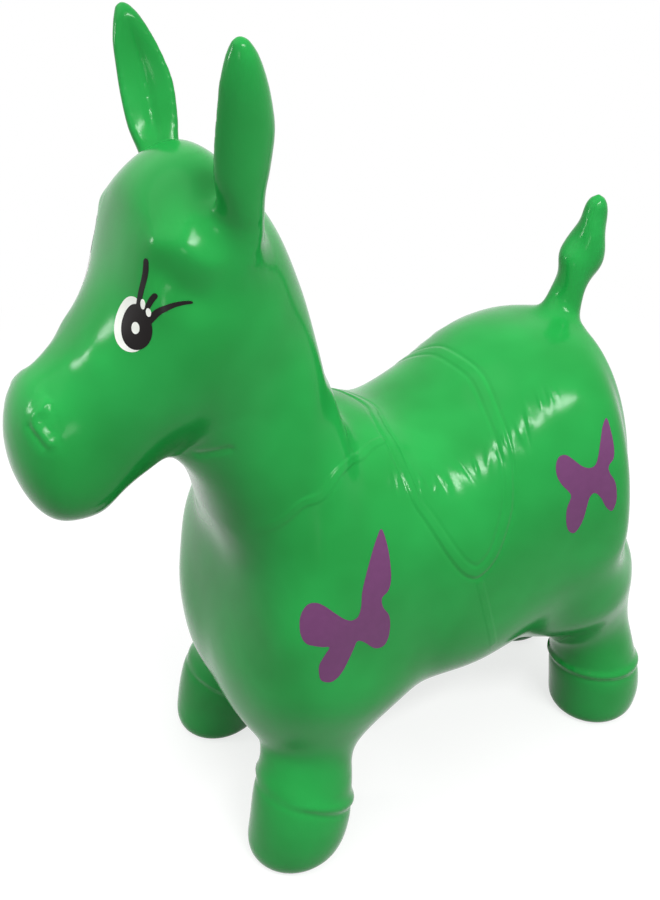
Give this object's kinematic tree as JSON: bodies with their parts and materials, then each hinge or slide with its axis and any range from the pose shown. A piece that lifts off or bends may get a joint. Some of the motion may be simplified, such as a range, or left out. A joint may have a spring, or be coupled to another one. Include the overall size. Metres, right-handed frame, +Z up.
{
  "type": "inflatable ride-on hopping animal",
  "caption": "Air-filled bouncing ride-on animal with a hollow soft skin, saddle back, ears to hold, knobbed tail, flat-soled sprung hooves and a belly valve.",
  "frame": {"origin": "on the floor, under the middle of the bounding box", "axes": "+Z up; the muzzle points along -X; the animal's left side is -Y"},
  "size_m": [0.4713, 0.2188, 0.5575],
  "materials": {
    "skin": "glossy moulded soft PVC, green, with purple and black prints",
    "valve": "moulded soft PVC boss, green",
    "plug": "moulded polyethylene, off-white"
  },
  "bodies": {
    "skin": {"trunk": "skin", "haunches": "skin", "shoulders": "skin", "neck": "skin", "head": "skin", "muzzle": "skin", "left_ear_root": "skin", "right_ear_root": "skin", "tail_root": "skin", "left_front_leg": "skin", "right_front_leg": "skin", "left_rear_leg": "skin", "right_rear_leg": "skin", "valve_seat": "valve"},
    "left_front_hoof": {"left_front_hoof": "skin"},
    "right_front_hoof": {"right_front_hoof": "skin"},
    "left_rear_hoof": {"left_rear_hoof": "skin"},
    "right_rear_hoof": {"right_rear_hoof": "skin"},
    "left_ear": {"left_ear": "skin"},
    "right_ear": {"right_ear": "skin"},
    "tail": {"tail": "skin"},
    "valve_plug": {"valve_plug": "plug"}
  },
  "joints": [
    {"name": "left_front_bounce", "type": "slide", "parent": "skin", "child": "left_front_hoof", "axis": [0, 0, 1], "range_m": [0, 0.03], "stiffness_N_per_m": 2500, "springref_m": -0.004, "deforming": ["left_front_leg"]},
    {"name": "right_front_bounce", "type": "slide", "parent": "skin", "child": "right_front_hoof", "axis": [0, 0, 1], "range_m": [0, 0.03], "stiffness_N_per_m": 2500, "springref_m": -0.004, "deforming": ["right_front_leg"]},
    {"name": "left_rear_bounce", "type": "slide", "parent": "skin", "child": "left_rear_hoof", "axis": [0, 0, 1], "range_m": [0, 0.03], "stiffness_N_per_m": 2500, "springref_m": -0.004, "deforming": ["left_rear_leg"]},
    {"name": "right_rear_bounce", "type": "slide", "parent": "skin", "child": "right_rear_hoof", "axis": [0, 0, 1], "range_m": [0, 0.03], "stiffness_N_per_m": 2500, "springref_m": -0.004, "deforming": ["right_rear_leg"]},
    {"name": "left_ear_bend", "type": "hinge", "parent": "skin", "child": "left_ear", "pos_m": [-0.1074, -0.0576, 0.46386], "axis": [0, 1, 0], "range_deg": [-20, 20], "stiffness_Nm_per_rad": 0.4, "deforming": ["left_ear_root"]},
    {"name": "right_ear_bend", "type": "hinge", "parent": "skin", "child": "right_ear", "pos_m": [-0.1074, 0.0576, 0.46386], "axis": [0, 1, 0], "range_deg": [-20, 20], "stiffness_Nm_per_rad": 0.4, "deforming": ["right_ear_root"]},
    {"name": "tail_bend", "type": "hinge", "parent": "skin", "child": "tail", "pos_m": [0.16694, 0, 0.34858], "axis": [0, 1, 0], "range_deg": [-25, 25], "stiffness_Nm_per_rad": 0.4, "deforming": ["tail_root"]},
    {"name": "valve_plug_pull", "type": "slide", "parent": "skin", "child": "valve_plug", "axis": [0, 0, -1], "range_m": [0, 0.03]}
  ]
}
